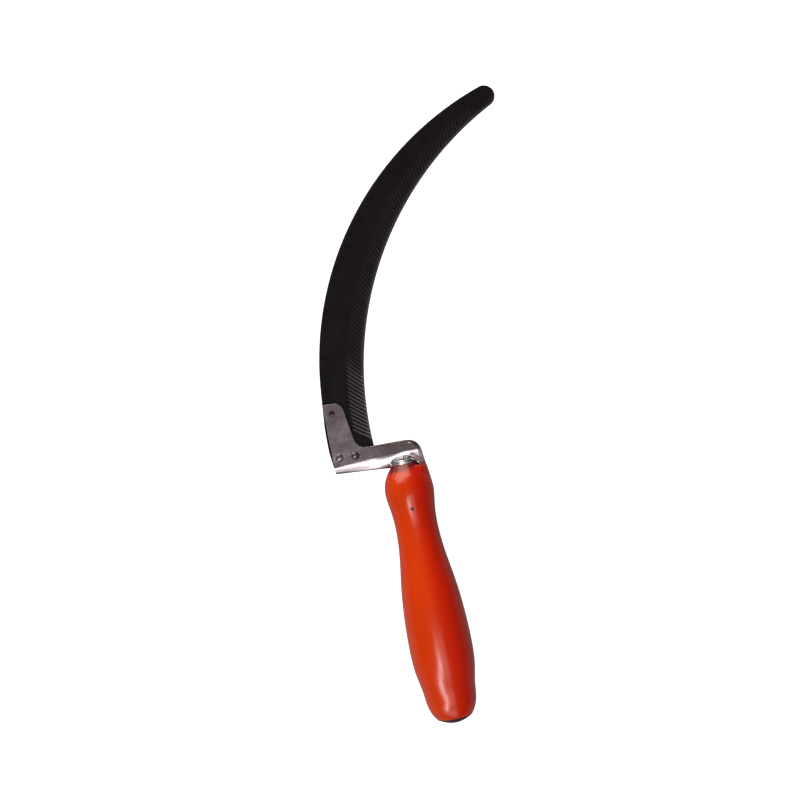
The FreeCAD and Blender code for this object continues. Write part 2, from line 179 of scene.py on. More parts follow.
class Shader:
    """A short way to write a node material: each call adds a node and returns it."""

    def __init__(self, name):
        self.material = bpy.data.materials.new(name)
        self.material.use_nodes = True
        self.tree = self.material.node_tree
        self.tree.nodes.clear()
        self.output = self.tree.nodes.new("ShaderNodeOutputMaterial")
        self.principled = self.tree.nodes.new("ShaderNodeBsdfPrincipled")
        self.tree.links.new(self.principled.outputs["BSDF"], self.output.inputs["Surface"])
        self.place = self.add("ShaderNodeTexCoord").outputs["Object"]

    def add(self, kind, inputs=None, **settings):
        node = self.tree.nodes.new(kind)
        for key, value in settings.items():
            setattr(node, key, value)
        for key, value in (inputs or {}).items():
            self.feed(node.inputs[key], value)
        return node

    def feed(self, socket, value):
        if isinstance(value, bpy.types.NodeSocket):
            self.tree.links.new(value, socket)
        else:
            socket.default_value = value

    def set(self, **values):
        for key, value in values.items():
            self.feed(self.principled.inputs[key.replace("_", " ")], value)

    def stretched(self, x, y, z):
        """Object coordinates in millimetres, scaled along each axis."""
        inputs = {"Vector": self.place, "Scale": (1000 * x, 1000 * y, 1000 * z)}
        return self.add("ShaderNodeMapping", inputs).outputs["Vector"]

    def noise(self, scale, detail=4.0, roughness=0.55, vector=None, distortion=0.0):
        """Noise from 0 to 1 whose features are 1 / scale millimetres across."""
        inputs = {
            "Vector": vector or self.stretched(1, 1, 1),
            "Scale": scale,
            "Detail": detail,
            "Roughness": roughness,
            "Distortion": distortion,
        }
        return self.add("ShaderNodeTexNoise", inputs).outputs["Fac"]

    def ramp(self, value, *stops):
        node = self.add("ShaderNodeValToRGB", {"Fac": value})
        elements = node.color_ramp.elements
        while len(elements) < len(stops):
            elements.new(0.5)
        for element, (position, colour) in zip(elements, stops):
            element.position = position
            element.color = grey(colour) if isinstance(colour, (int, float)) else (*colour, 1)
        return node.outputs["Color"]

    def span(self, value, from_low, from_high, to_low=0.0, to_high=1.0):
        inputs = {
            "Value": value,
            "From Min": from_low,
            "From Max": from_high,
            "To Min": to_low,
            "To Max": to_high,
        }
        return self.add("ShaderNodeMapRange", inputs).outputs["Result"]

    def maths(self, operation, first, second=0.0):
        return self.add(
            "ShaderNodeMath", {0: first, 1: second}, operation=operation
        ).outputs[0]

    def mix(self, share, first, second):
        node = self.add("ShaderNodeMix", data_type="RGBA")
        self.feed(node.inputs[0], share)
        self.feed(node.inputs[6], colour4(first))
        self.feed(node.inputs[7], colour4(second))
        return node.outputs[2]

    def stored(self, name):
        return self.add("ShaderNodeAttribute", attribute_name=name).outputs["Fac"]

    def bump(self, height, strength, distance_mm, below=None):
        inputs = {"Height": height, "Strength": strength, "Distance": distance_mm * MM}
        if below is not None:
            inputs["Normal"] = below
        return self.add("ShaderNodeBump", inputs).outputs["Normal"]


def grey(value):
    return (value, value, value, 1)


def colour4(value):
    return (*value, 1) if isinstance(value, tuple) and len(value) == 3 else value


def painted_wood():
    """Orange-red gloss paint on turned wood, with painted shade on its top, its right side and its
    bare butt.
    """
    s = Shader("painted_wood")
    cloud = s.noise(0.06, 3.0, vector=s.stretched(1, 0.3, 1))
    grain = s.noise(0.9, 5.0, 0.6, vector=s.stretched(1, 0.06, 1))
    orange = s.ramp(cloud, (0.3, (0.41, 0.026, 0.0002)), (0.7, (0.47, 0.032, 0.0003)))
    red = s.ramp(cloud, (0.3, (0.43, 0.0095, 0.0002)), (0.7, (0.49, 0.013, 0.0003)))
    # Painted shade: redder and darker towards the +X side.
    colour = s.mix(s.stored("shaded_side"), orange, red)
    colour = s.mix(s.span(grain, 0.4, 0.75, 0.0, 0.2), colour, (0.34, 0.010, 0.0006))
    speck = s.noise(1.7, 5.0, 0.7)
    # Painted shade at the top of the handle, under the neck: dark mottled red.
    shade_under_neck = s.ramp(speck, (0.3, (0.075, 0.006, 0.008)), (0.7, (0.20, 0.012, 0.012)))
    colour = s.mix(s.stored("shade_under_neck"), colour, shade_under_neck)
    # Bare wood at the butt, painted near black as shade.
    wood = s.ramp(speck, (0.3, (0.006, 0.002, 0.0015)), (0.75, (0.025, 0.009, 0.006)))
    bare = s.stored("bare")
    colour = s.mix(bare, colour, wood)
    scuff = s.noise(0.35, 6.0, 0.7)
    rough = s.span(scuff, 0.35, 0.75, 0.17, 0.27)
    rough = s.maths("ADD", rough, s.maths("MULTIPLY", bare, 0.45))
    peel = s.noise(0.3, 2.0, 0.5)
    normal = s.bump(grain, 0.12, 0.05)
    normal = s.bump(peel, 0.12, 0.15, normal)
    s.set(Base_Color=colour, Roughness=rough, Normal=normal)
    s.principled.inputs["Specular IOR Level"].default_value = 0.34
    return s.material


def blade_steel():
    """Black-oxide steel under thin lacquer, worn bright on the teeth's crests and the edge."""
    s = Shader("blade_steel")
    cloud = s.noise(0.06, 5.0, 0.6)
    fine = s.noise(1.2, 6.0, 0.65)
    black = s.ramp(cloud, (0.3, (0.0022, 0.0015, 0.0034)), (0.75, (0.0042, 0.0030, 0.0056)))
    worn = s.stored("worn")
    speck = s.span(fine, 0.3, 0.7, 0.5, 1.0)
    share = s.maths("MULTIPLY", worn, speck)
    colour = s.mix(share, black, (0.22, 0.20, 0.205))
    rough = s.span(s.noise(0.25, 5.0, 0.6), 0.3, 0.7, 0.36, 0.5)
    normal = s.bump(fine, 0.2, 0.03)
    metal = s.maths("MULTIPLY", share, 0.5)
    s.set(Base_Color=colour, Metallic=metal, Roughness=rough, Normal=normal)
    s.principled.inputs["Specular IOR Level"].default_value = 0.13
    return s.material


def plated_sheet():
    """Bright plated sheet: rolling marks, stains, heat tint with painted shade by the weld, paint
    on the tongue.
    """
    s = Shader("plated_sheet")
    rolled = s.noise(1.1, 1.5, 0.5, vector=s.stretched(0.07, 1.2, 1.2))
    cloud = s.noise(0.16, 4.0, 0.6)
    spot = s.noise(0.7, 3.0, 0.6)
    colour = s.ramp(cloud, (0.3, (0.40, 0.335, 0.355)), (0.72, (0.46, 0.40, 0.42)))
    colour = s.mix(s.span(spot, 0.6, 0.8, 0.0, 0.12), colour, (0.3, 0.25, 0.26))
    tint = s.ramp(spot, (0.3, (0.2, 0.13, 0.13)), (0.7, (0.36, 0.25, 0.26)))
    # Heat tint above the weld, which also darkens the upper neck as painted shade.
    colour = s.mix(s.maths("MULTIPLY", s.stored("heat"), 0.75), colour, tint)
    # Painted shade: shadow round the rivets, and a dark lip, upper corner and fold bottom.
    colour = s.mix(s.stored("painted_shade"), colour, (0.05, 0.036, 0.038))
    # A painted highlight: pale, rougher and less metallic on the end wall and beside the notch.
    colour = s.mix(s.stored("painted_highlight"), colour, (0.50, 0.41, 0.42))
    painted = s.stored("painted")
    coat = s.ramp(s.stored("coat"), (0.0, (0.20, 0.075, 0.055)), (0.75, (0.50, 0.03, 0.003)))
    colour = s.mix(painted, colour, coat)
    rough = s.span(cloud, 0.3, 0.75, 0.24, 0.31)
    rough = s.maths("ADD", rough, s.span(rolled, 0.35, 0.7, -0.01, 0.015))
    rough = s.maths("ADD", rough, s.maths("MULTIPLY", s.stored("painted_highlight"), 0.2))
    s.set(Base_Color=colour, Roughness=rough, Normal=s.bump(rolled, 0.03, 0.02))
    # Metal gives way to the paint and to the painted highlight.
    covered = s.maths("MAXIMUM", painted, s.maths("MULTIPLY", s.stored("painted_highlight"), 0.6))
    s.set(Metallic=s.span(covered, 0.1, 0.9, 1.0, 0.0))
    return s.material


def rivet_steel():
    """Hammered rivet heads, duller than the sheet; the dark ring round each rim is painted shadow
    on the sheet.
    """
    s = Shader("rivet_steel")
    spot = s.noise(1.6, 5.0, 0.7)
    colour = s.ramp(spot, (0.3, (0.08, 0.06, 0.065)), (0.7, (0.24, 0.205, 0.215)))
    colour = s.mix(s.stored("rust"), colour, (0.05, 0.022, 0.022))
    s.set(Base_Color=colour, Metallic=0.9, Roughness=s.span(spot, 0.3, 0.7, 0.45, 0.25))
    s.set(Normal=s.bump(spot, 0.35, 0.06))
    return s.material


def ferrule_steel():
    """Mottled steel of the ferrule and the weld: grey scale, bright spots and heat tint."""
    s = Shader("ferrule_steel")
    spot = s.noise(0.55, 6.0, 0.7, distortion=0.6)
    fine = s.noise(2.2, 4.0, 0.6)
    colour = s.ramp(
        spot, (0.3, (0.13, 0.125, 0.13)), (0.5, (0.34, 0.335, 0.345)), (0.68, (0.62, 0.61, 0.62))
    )
    colour = s.mix(s.span(fine, 0.6, 0.8, 0.0, 0.5), colour, (0.08, 0.05, 0.05))
    s.set(Base_Color=colour, Metallic=0.95, Roughness=s.span(spot, 0.3, 0.7, 0.5, 0.26))
    s.set(Normal=s.bump(spot, 0.5, 0.15))
    return s.material


def raw_steel():
    """Dull bare steel, for the nail and the tang."""
    s = Shader("raw_steel")
    spot = s.noise(1.5, 5.0, 0.7)
    colour = s.ramp(spot, (0.3, (0.05, 0.022, 0.018)), (0.7, (0.13, 0.08, 0.07)))
    s.set(Base_Color=colour, Metallic=0.6, Roughness=s.span(spot, 0.3, 0.7, 0.6, 0.42))
    s.set(Normal=s.bump(spot, 0.3, 0.05))
    return s.material


def pale_floor():
    """White to the camera. The object sees a mid-grey floor, so its edges keep their contrast."""
    s = Shader("pale_floor")
    tone = s.noise(0.02, 2.0)
    colour = s.ramp(tone, (0.3, FLOOR_TONE), (0.7, FLOOR_TONE * 1.03))
    seen = s.add("ShaderNodeLightPath").outputs["Is Camera Ray"]
    s.set(Base_Color=colour, Roughness=0.9, Emission_Color=(1, 1, 1, 1))
    s.set(Emission_Strength=s.maths("MULTIPLY", seen, FLOOR_GLOW))
    s.principled.inputs["Specular IOR Level"].default_value = 0.0
    return s.material


MATERIALS = {
    "painted_wood": painted_wood(),
    "blade_steel": blade_steel(),
    "plated_sheet": plated_sheet(),
    "rivet_steel": rivet_steel(),
    "ferrule_steel": ferrule_steel(),
    "raw_steel": raw_steel(),
}


def fit_out(piece, slot, *replaced):
    """Gives a piece its material and body, and says which CAD nodes it stands for."""
    piece.data.materials.clear()
    piece.data.materials.append(MATERIALS[slot])
    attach(piece, "root")
    if replaced:
        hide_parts(*replaced)
    return piece


# ---------------------------------------------------------------- handle

def handle_profile():
    """Radius against distance from the butt, from the CAD handle and smoothed (millimetres)."""
    points = read_points(NODES["handle"].data)
    radius = np.hypot(points[:, 0], points[:, 2])
    length = points[:, 1].max()
    stations = np.append(np.arange(0.0, length - 0.1, 0.25), length)
    order = np.argsort(points[:, 1])
    y, r = points[order, 1], radius[order]
    envelope = []
    for low in np.arange(0.0, length, 1.0):
        inside = (y >= low) & (y < low + 1.0)
        if inside.any():
            best = np.argmax(r[inside])
            envelope.append((y[inside][best], r[inside][best]))
    envelope.append((length, r[y > length - 0.05].max()))
    envelope = np.array(envelope)
    shape = np.interp(stations, envelope[:, 0], envelope[:, 1])
    kernel = np.hanning(15)
    kernel /= kernel.sum()
    padded = np.pad(shape, 7, mode="reflect", reflect_type="odd")
    soft = np.convolve(padded, kernel, mode="valid")
    # The butt turns in quickly, so its profile is kept as it is.
    near = y < 9
    butt = np.interp(stations, y[near], r[near])
    share = smoothstep(4, 7, stations)
    return stations, butt + share * (soft - butt)


def tongue_reach(turn, y):
    """Distance from the handle's axis to the outside of the neck's tongue, in each direction."""
    skirt = NECK[1] + (SKIRT_TOP_Y - y) * SKIRT_FLARE
    across = np.minimum(1.0, np.abs(NECK[0] * np.cos(turn)) / skirt)
    return NECK[0] * np.sin(turn) + skirt * np.sqrt(1 - across**2)


def butt_rings(first):
    """The flat butt, with the dimple of the lathe's centre in the middle."""
    rings = []
    for share, y in ((0.06, 0.8), (0.16, 0.5), (0.3, 0.06), (0.5, 0.0), (0.8, 0.0)):
        ring = first.copy()
        ring[:, 0] *= share
        ring[:, 2] *= share
        ring[:, 1] = y
        rings.append(ring)
    return rings


def make_handle():
    """The turned handle. Its paint is worn off the butt and runs up over the end of the tongue."""
    stations, radii = handle_profile()
    around = 240
    turn = np.linspace(0, 2 * math.pi, around, endpoint=False)
    beside = np.abs(np.arctan2(np.cos(turn), np.sin(turn)))
    over_tongue = 1 - smoothstep(math.radians(34), math.radians(62), beside)
    ragged = 0.35 * np.sin(3 * turn + 0.6) + 0.22 * np.sin(7 * turn + 2.0)
    ragged += 0.12 * np.sin(17 * turn)
    # The paint stops short of the butt, a little sooner in front and behind than at the sides.
    rim_y = 3.9 - 0.2 * np.sin(turn) ** 2
    rings = []
    bare = []
    shade_under_neck = []
    shaded_side = []
    for y, radius in zip(stations, radii):
        on_wood = 1 - smoothstep(-0.18, 0.18, y - rim_y - 0.35 * ragged)
        out = radius - 0.07 - PAINT_THICKNESS * on_wood + 0.035 * np.sin(2 * turn + 0.05 * y)
        rise = np.maximum(0, tongue_reach(turn, y) + 0.1 - out)
        covered = 1 - smoothstep(-0.5, 0.5, y - PAINT_LINE_Y - 1.2 * ragged)
        out = out + rise * over_tongue * covered * smoothstep(119, 124, y)
        ring = [out * np.sin(turn), np.full(around, y), out * np.cos(turn)]
        rings.append(np.stack(ring, axis=1))
        # The bare butt, which the material also darkens to near black as painted shade.
        bare.append(on_wood)
        # Painted shade at the handle's top, under the neck, except where the paint covers the
        # tongue.
        dark = smoothstep(127.6, 129.6, y + 0.5 * ragged - 0.9 * np.sin(turn))
        shade_under_neck.append(dark * (1 - over_tongue * covered))
        # Painted shade: the paint is redder towards the +X side.
        shaded_side.append(smoothstep(-0.15, 0.45, np.sin(turn) + 0.08 * ragged))
    butt = butt_rings(rings[0])
    piece = ring_mesh("painted_handle", np.array(butt + rings))
    # Each mark has values for the butt's rings, for the other rings and for the two middle points.
    marks = (("bare", 1.0, bare, [1.0, 0.0]), ("shade_under_neck", 0.0, shade_under_neck, [0.0, 1.0]))
    marks += (("shaded_side", 0.0, shaded_side, [0.0, 0.0]),)
    for name, at_butt, values, middles in marks:
        store(piece, name, np.concatenate([np.full(around * len(butt), at_butt), *values, middles]))
    return fit_out(piece, "painted_wood", "handle")


# ---------------------------------------------------------------- blade

class BladeOutline:
    """The blade's inner and outer limits, measured from the centre of its edge's arc."""

    def __init__(self):
        low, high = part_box("blade")
        tip = np.array([high[0] / MM - TIP_RADIUS, high[1] / MM - TIP_RADIUS])
        offset = tip - EDGE_CENTRE
        self.low_y = low[1] / MM
        self.tip_reach = float(np.hypot(*offset))
        self.tip_angle = math.atan2(offset[1], offset[0])
        self.end_angle = self.tip_angle - math.asin(TIP_RADIUS / self.tip_reach) * 0.9995
        graph = bpy.context.evaluated_depsgraph_get()
        self.cad = BVHTree.FromObject(NODES["blade"], graph)

    def first_hit(self, start, direction):
        hit = self.cad.ray_cast(Vector((*(start * MM), 0)), Vector((*direction, 0)))
        return None if hit[0] is None else np.array(hit[0][:2]) / MM

    def span_at(self, angle):
        """Distances from the edge's centre at which the blade begins and ends."""
        direction = np.array([math.cos(angle), math.sin(angle)])
        off = self.tip_reach * math.sin(angle - self.tip_angle)
        middle = self.tip_reach * math.cos(angle - self.tip_angle)
        half = math.sqrt(max(0.0, TIP_RADIUS**2 - off**2))
        near = EDGE_RADIUS if angle >= self.tip_angle else middle - half
        if angle < self.tip_angle - 0.005:
            return near, middle + half
        outside = EDGE_CENTRE + direction * (EDGE_RADIUS + 40)
        hit = self.first_hit(outside, -direction)
        far = middle + half if hit is None else float(np.hypot(*(hit - EDGE_CENTRE)))
        return near, far

    def stations(self):
        """Angles of the sections from heel to tip, their distance along, and the teeth's length."""
        heel = math.pi - math.asin((self.low_y + 1.3 - EDGE_CENTRE[1]) / EDGE_RADIUS)
        teeth = math.pi - math.asin((TEETH_LOW_Y - EDGE_CENTRE[1]) / EDGE_RADIUS)
        step = TOOTH_PITCH / EDGE_RADIUS / SECTIONS_PER_TOOTH
        teeth_end = self.tip_angle + PLAIN_TIP / EDGE_RADIUS
        angles = list(np.linspace(heel, teeth, 16)[:-1])
        angles += list(np.arange(teeth, teeth_end, -step))
        angles += list(np.linspace(angles[-1] - step, self.tip_angle, 36))
        round_tip = np.sin(np.linspace(0, math.pi / 2, 26)[1:])
        angles += list(self.tip_angle + (self.end_angle - self.tip_angle) * round_tip)
        angles = np.array(angles)
        return angles, (teeth - angles) * EDGE_RADIUS, (teeth - teeth_end) * EDGE_RADIUS


def tooth_cut(s, depth, band, teeth_length):
    """How far a section's front is cut down, and how worn it is. Each tooth is a chisel cut: a
    steep flank, a long flank and a small raised burr between."""
    phase = (s / TOOTH_PITCH) % 1.0
    if phase < STEEP_SHARE:
        cut = 1 - phase / STEEP_SHARE
    else:
        cut = (phase - STEEP_SHARE) / (1 - STEEP_SHARE)
    cut = 1 - min(1, max(0, cut))
    in_teeth = 1.0 if 0 <= s <= teeth_length else 0.0
    strong = 1 - STRONG_LOSS * smoothstep(*STRONG_TO, s)
    fade = 1 - smoothstep(0.86, 1.0, depth / band)
    here = in_teeth * strong * fade
    groove = here * cut * (GROOVE_DEPTH - 0.2 * depth / band)
    burr = here * BURR_HEIGHT * max(0, 1 - abs(phase - 0.95) / 0.16)
    crest = here * max(0.0, 1 - abs(phase - 0.93) / 0.19)
    edge_wear = 0.5 * np.exp(-depth / 0.6) * smoothstep(-2, 4, s)
    worn = np.clip(crest * (0.55 + 0.45 * np.exp(-depth / 8)) + edge_wear, 0, 1)
    return groove - burr, worn


def closed_section(x, y, front, back, inward, width):
    """A loop round the blade: the front, the spine rounded over, and the back."""
    round_off = min(SPINE_ROUNDING, 0.3 * width)
    x_end, y_end = x[-1], y[-1]
    x[-1] -= inward[0] * round_off
    y[-1] -= inward[1] * round_off
    front_side = np.stack([x, y, front], axis=1)
    back_side = np.stack([x, y, back], axis=1)[::-1]
    shoulder = [x_end - inward[0] * round_off * 0.3, y_end - inward[1] * round_off * 0.3]
    spine = [
        [*shoulder, BLADE_HALF - 0.09],
        [x_end, y_end, BLADE_HALF - 0.3],
        [x_end, y_end, -BLADE_HALF + 0.3],
        [*shoulder, -BLADE_HALF + 0.09],
    ]
    return np.vstack([front_side, spine, back_side])


def blade_sections():
    """Closed loops of points across the blade, from the heel to the tip, and how worn each is."""
    outline = BladeOutline()
    angles, along, teeth_length = outline.stations()
    # Shares across a section: close together over the teeth, wider apart behind them.
    shares = np.concatenate([np.linspace(0, 1, 15)[:-1] ** 1.15, 1 + np.linspace(0, 1, 9)])
    bevel_slope = (2 * BLADE_HALF - EDGE_THICKNESS) / BEVEL_WIDTH
    loops = []
    worn = []
    for angle, s in zip(angles, along):
        slant = smoothstep(-6, 1.5, s)
        slant *= 1 - smoothstep(teeth_length - 6, teeth_length + 8, s)
        lean = math.tan(TOOTH_SLANT) * slant
        near, far = outline.span_at(angle)
        band = min(TOOTH_BAND, 0.5 * (far - near))
        if slant > 0:
            # The section leans with the teeth, so it ends where the spine is further back.
            turn_back = angle - band * lean / EDGE_RADIUS
            far = outline.span_at(max(turn_back, outline.end_angle))[1]
        width = far - near
        depth = np.where(shares <= 1, shares * band, band + (shares - 1) * (width - band))
        theta = angle - np.minimum(depth, band) * lean / EDGE_RADIUS
        radial = near + depth
        x = EDGE_CENTRE[0] + radial * np.cos(theta)
        y = EDGE_CENTRE[1] + radial * np.sin(theta)
        cut, wear = tooth_cut(s, depth, band, teeth_length)
        bevel = (BEVEL_WIDTH - (radial - EDGE_RADIUS)) * bevel_slope
        back = -BLADE_HALF + np.maximum(0, bevel)
        inward = np.array([math.cos(theta[-1]), math.sin(theta[-1])])
        loops.append(closed_section(x, y, BLADE_HALF - cut, back, inward, width))
        worn.append(np.concatenate([wear, [0.12] * 4, wear[::-1] * 0.15]))
    return np.array(loops), np.array(worn)


def make_blade():
    loops, worn = blade_sections()
    flat = loops.reshape(-1, 3)
    # Slight hammering leaves the faces a little uneven.
    wave = 0.035 * smooth_noise(flat, 22.0, 3) + 0.012 * smooth_noise(flat, 6.0, 4)
    flat[:, 2] += wave - 0.03 * np.sign(flat[:, 2])
    piece = ring_mesh("saw_blade", loops)
    store(piece, "worn", np.concatenate([worn.reshape(-1), [0.0, 0.1]]))
    return fit_out(piece, "blade_steel", "blade")


# ---------------------------------------------------------------- holder, rivets, ferrule

def fold_width(station, y):
    """Half width of the fold at heights y, for a station or a column of stations."""
    half, widest, bottom, lip_half, lip = station[1:]
    side = half + (lip_half - half) * (y - widest) / (lip - widest)
    drop = np.clip((widest - y) / (widest - bottom), 0, 1)
    below = half * (1 - drop**FOLD_BEND) ** FOLD_ROUND
    return np.where(y > widest, side, below)


def stations_at(x):
    """The fold's station at each x, between the bead, the end of the cheeks and the neck."""
    low = np.clip((x - BEAD[0]) / (CHEEK_END[0] - BEAD[0]), 0, 1)
    high = np.clip((x - CHEEK_END[0]) / (NECK[0] - CHEEK_END[0]), 0, 1)
    eased = smoothstep(0, 1, high)
    shares = (high, eased, high, high, eased, high)
    return [
        BEAD[i] + low * (CHEEK_END[i] - BEAD[i]) + shares[i] * (NECK[i] - CHEEK_END[i])
        for i in range(6)
    ]


def remeshed(piece, voxel, passes):
    """Rounds a mesh's edges: an even remesh, then smoothing."""
    remesh = piece.modifiers.new("remesh", "REMESH")
    remesh.mode = "VOXEL"
    remesh.voxel_size = voxel * MM
    soften = piece.modifiers.new("soften", "SMOOTH")
    soften.factor = 0.5
    soften.iterations = passes
    graph = bpy.context.evaluated_depsgraph_get()
    mesh = bpy.data.meshes.new_from_object(piece.evaluated_get(graph))
    piece.modifiers.clear()
    piece.data = mesh
    mesh.polygons.foreach_set("use_smooth", [True] * len(mesh.polygons))
    return read_points(mesh)


def read_points(mesh):
    points = np.empty(len(mesh.vertices) * 3)
    mesh.vertices.foreach_get("co", points)
    return points.reshape(-1, 3) / MM


def write_points(mesh, points):
    mesh.vertices.foreach_set("co", (points * MM).reshape(-1))
    mesh.update()


def true_up(points, stations):
    """Sets the broad sides to the holder's own shape, so that they reflect evenly."""
    x, y = points[:, 0], points[:, 1]
    outer = np.where(y > stations[5], CHEEK_HALF, fold_width(stations, y))
    off = outer - np.abs(points[:, 2])
    hold = 1 - smoothstep(0.15, 0.45, np.abs(off))
    hold = hold * (1 - smoothstep(0.6, 0.85, fold_drop(stations, y)))
    hold *= 1 - smoothstep(-1.0, 3.0, x)
    points[:, 2] += np.sign(points[:, 2]) * off * hold
    points[:, 2] += 0.02 * smooth_noise(points, 14.0, 11) + 0.003 * smooth_noise(points, 5.0, 12)


def fold_drop(stations, y):
    """How far down the fold a height is: 0 at its widest point, 1 at its bottom."""
    return (stations[2] - y) / (stations[2] - stations[3])


def rivet_shadows(points):
    """Painted shadow on the sheet round each rivet head, shifted a little down and to the right."""
    painted_shade = np.zeros(len(points))
    for node, reach in (("rivet_top", 1.5), ("rivet_heel", 1.8), ("rivet_neck", 2.1)):
        centre = node_centre(node)
        away = np.hypot(points[:, 0] - centre[0] - 0.15, points[:, 1] - centre[1] + 0.3)
        away += 0.2 * smooth_noise(points, 2.2, 15)
        painted_shade = np.maximum(painted_shade, 1 - smoothstep(reach - 0.45, reach + 0.45, away))
    return painted_shade


def dark_edges(points, stations):
    """Painted shade: the neck's lip and upper corner darkened, the fold a little darker at the heel
    and darker below.
    """
    x, y = points[:, 0], points[:, 1]
    lip = stations[5]
    out = np.hypot(x - CORNER[0], y - CORNER[1])
    upper = smoothstep(0.3, 0.7, (y - CORNER[1]) / np.maximum(out, 0.1))
    along_lip = smoothstep(lip - 0.6, lip - 0.15, y) * smoothstep(-18, -15, x)
    corner = smoothstep(CORNER_RADIUS - 2.2, CORNER_RADIUS - 0.5, out) * upper
    edge = np.maximum(np.where(x < CORNER[0], along_lip, 0), np.where(x >= CORNER[0], corner, 0))
    drop = fold_drop(stations, y)
    heel_shade = 0.35 * (1 - smoothstep(-32, -12, x)) * smoothstep(0.0, 0.15, drop)
    under = 0.7 * smoothstep(0.86, 0.99, drop) * (1 - smoothstep(-9, -5, x))
    return np.maximum(edge, np.maximum(heel_shade, under))


def make_holder():
    """The holder: the CAD sheet with soft edges and the slight dents of bending."""
    piece = bpy.data.objects.new("sheet_holder", NODES["holder"].data.copy())
    bpy.context.scene.collection.objects.link(piece)
    points = remeshed(piece, SHEET_VOXEL, 7)
    x, y = points[:, 0], points[:, 1]
    stations = stations_at(x)
    true_up(points, stations)
    write_points(piece.data, points)
    ragged = 0.25 * smooth_noise(points, 3.0, 13)
    # Paint on the end of the tongue, thinner towards its edge.
    beyond = smoothstep(NECK[0], NECK[0] + 3, x)
    painted = smoothstep(0, 1, (PAINT_LINE_Y + 2.6 - y) / 1.6 + ragged) * beyond
    store(piece, "painted", painted)
    store(piece, "coat", smoothstep(0, 1, (PAINT_LINE_Y + 1.6 - y) / 3.2 + ragged))
    # A painted highlight on the end wall and beside the notch, and heat tint with painted shade
    # above the weld.
    painted_highlight = smoothstep(7.2, 9.2, x + 2 * ragged) * (1 - smoothstep(136.2, 138.0, y + 2 * ragged))
    shoulder = smoothstep(3.0, 3.7, x) * (1 - smoothstep(135.2, 136.4, y + ragged))
    painted_highlight = np.maximum(painted_highlight, 0.85 * shoulder)
    store(piece, "painted_highlight", painted_highlight * (0.9 + ragged))
    heat = np.exp(-(((x - 1.5) / 7.0) ** 2) - ((y - 139.5) / 2.6) ** 2)
    store(piece, "heat", np.clip(heat * (1 + 0.35 * smooth_noise(points, 4.0, 14)), 0, 1))
    # Painted shadow round the rivets and painted shade along the edges.
    painted_shade = np.maximum(rivet_shadows(points), dark_edges(points, stations))
    store(piece, "painted_shade", 0.8 * painted_shade)
    return fit_out(piece, "plated_sheet", "holder")


def turned_piece(name, centre, axis, profile, around=48, dents=0.0, seed=0):
    """A skin turned about an axis from (radius, height) pairs, with small random dents."""
    rng = np.random.default_rng(seed)
    turn = np.linspace(0, 2 * math.pi, around, endpoint=False)
    wobble = sum(
        rng.uniform(-1, 1) * np.sin(order * turn + rng.uniform(0, 6.28)) for order in (2, 3, 5)
    )
    rings = []
    for radius, height in profile:
        out = radius * (1 + dents * wobble)
        ring = np.zeros((around, 3))
        if axis == "z":
            ring[:, 0] = out * np.cos(turn)
            ring[:, 1] = out * np.sin(turn)
            ring[:, 2] = height
        else:
            ring[:, 0] = out * np.cos(turn)
            ring[:, 2] = out * np.sin(turn)
            ring[:, 1] = height
        rings.append(ring + np.array(centre))
    return ring_mesh(name, rings)


def node_centre(node):
    low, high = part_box(node)
    return [(a + b) / 2 / MM for a, b in zip(low, high)]


def dome_profile(radius, low, high, steps=7):
    """A low dome from a rim at one height to a crown at another."""
    pairs = []
    for index in range(steps + 1):
        share = index / steps
        angle = share * math.pi / 2
        pairs.append((radius * math.cos(angle) + 0.02, low + (high - low) * math.sin(angle)))
    return pairs


def make_rivets():
    """Each rivet is turned whole, with a domed head on both sides. The top one is the rustiest."""
    rust = {"rivet_top": 0.9, "rivet_heel": 0.0, "rivet_neck": 0.35}
    for seed, (node, tint) in enumerate(rust.items()):
        low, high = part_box(node)
        centre = node_centre(node)
        radius = (high[0] - low[0]) / 2 / MM + 0.15
        half = (high[2] - low[2]) / 2 / MM
        head = min(0.9, max(0.2, half - 1.85))
        top = dome_profile(radius, half - head, half)
        profile = [(r, -h) for r, h in reversed(top)] + top
        place = [centre[0], centre[1], 0]
        piece = turned_piece(node + "_head", place, "z", profile, 40, 0.04, seed)
        store(piece, "rust", [tint] * len(piece.data.vertices))
        fit_out(piece, "rivet_steel", node)


def make_ferrule():
    """The domed cap on the handle's end, with a rolled lip at its foot."""
    low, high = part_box("ferrule")
    radius = (high[0] - low[0]) / 2 / MM
    foot = low[1] / MM
    crown = high[1] / MM
    profile = [(radius - 1.6, foot + 0.15), (radius - 0.7, foot)]
    bead = 0.38
    for degrees in range(-60, 100, 20):
        angle = math.radians(degrees)
        out = radius - bead + bead * math.cos(angle)
        profile.append((out, foot + 0.4 + bead * math.sin(angle)))
    profile += [(radius - 0.3, foot + 1.0), (radius - 0.14, foot + 1.5)]
    for share in np.linspace(0.06, 1, 11):
        angle = share * math.pi / 2
        height = foot + 1.6 + (crown - foot - 1.6) * math.sin(angle)
        profile.append(((radius - 0.08) * math.cos(angle) + 0.02, height))
    piece = turned_piece("domed_ferrule", [0, 0, 0], "y", profile, 112, 0.004, 5)
    points = read_points(piece.data)
    points[:, 1] = np.minimum(points[:, 1] + 0.07 * smooth_noise(points, 2.6, 21), crown - 0.02)
    write_points(piece.data, points)
    return fit_out(piece, "ferrule_steel", "ferrule")


def arch_height(x):
    """Height of the neck's notch at x: a parabola through its ends and its crown."""
    (x0, y0), (x1, y1), (x2, y2) = NOTCH
    low = (x - x1) * (x - x2) / ((x0 - x1) * (x0 - x2)) * y0
    middle = (x - x0) * (x - x2) / ((x1 - x0) * (x1 - x2)) * y1
    high = (x - x0) * (x - x1) / ((x2 - x0) * (x2 - x1)) * y2
    return low + middle + high


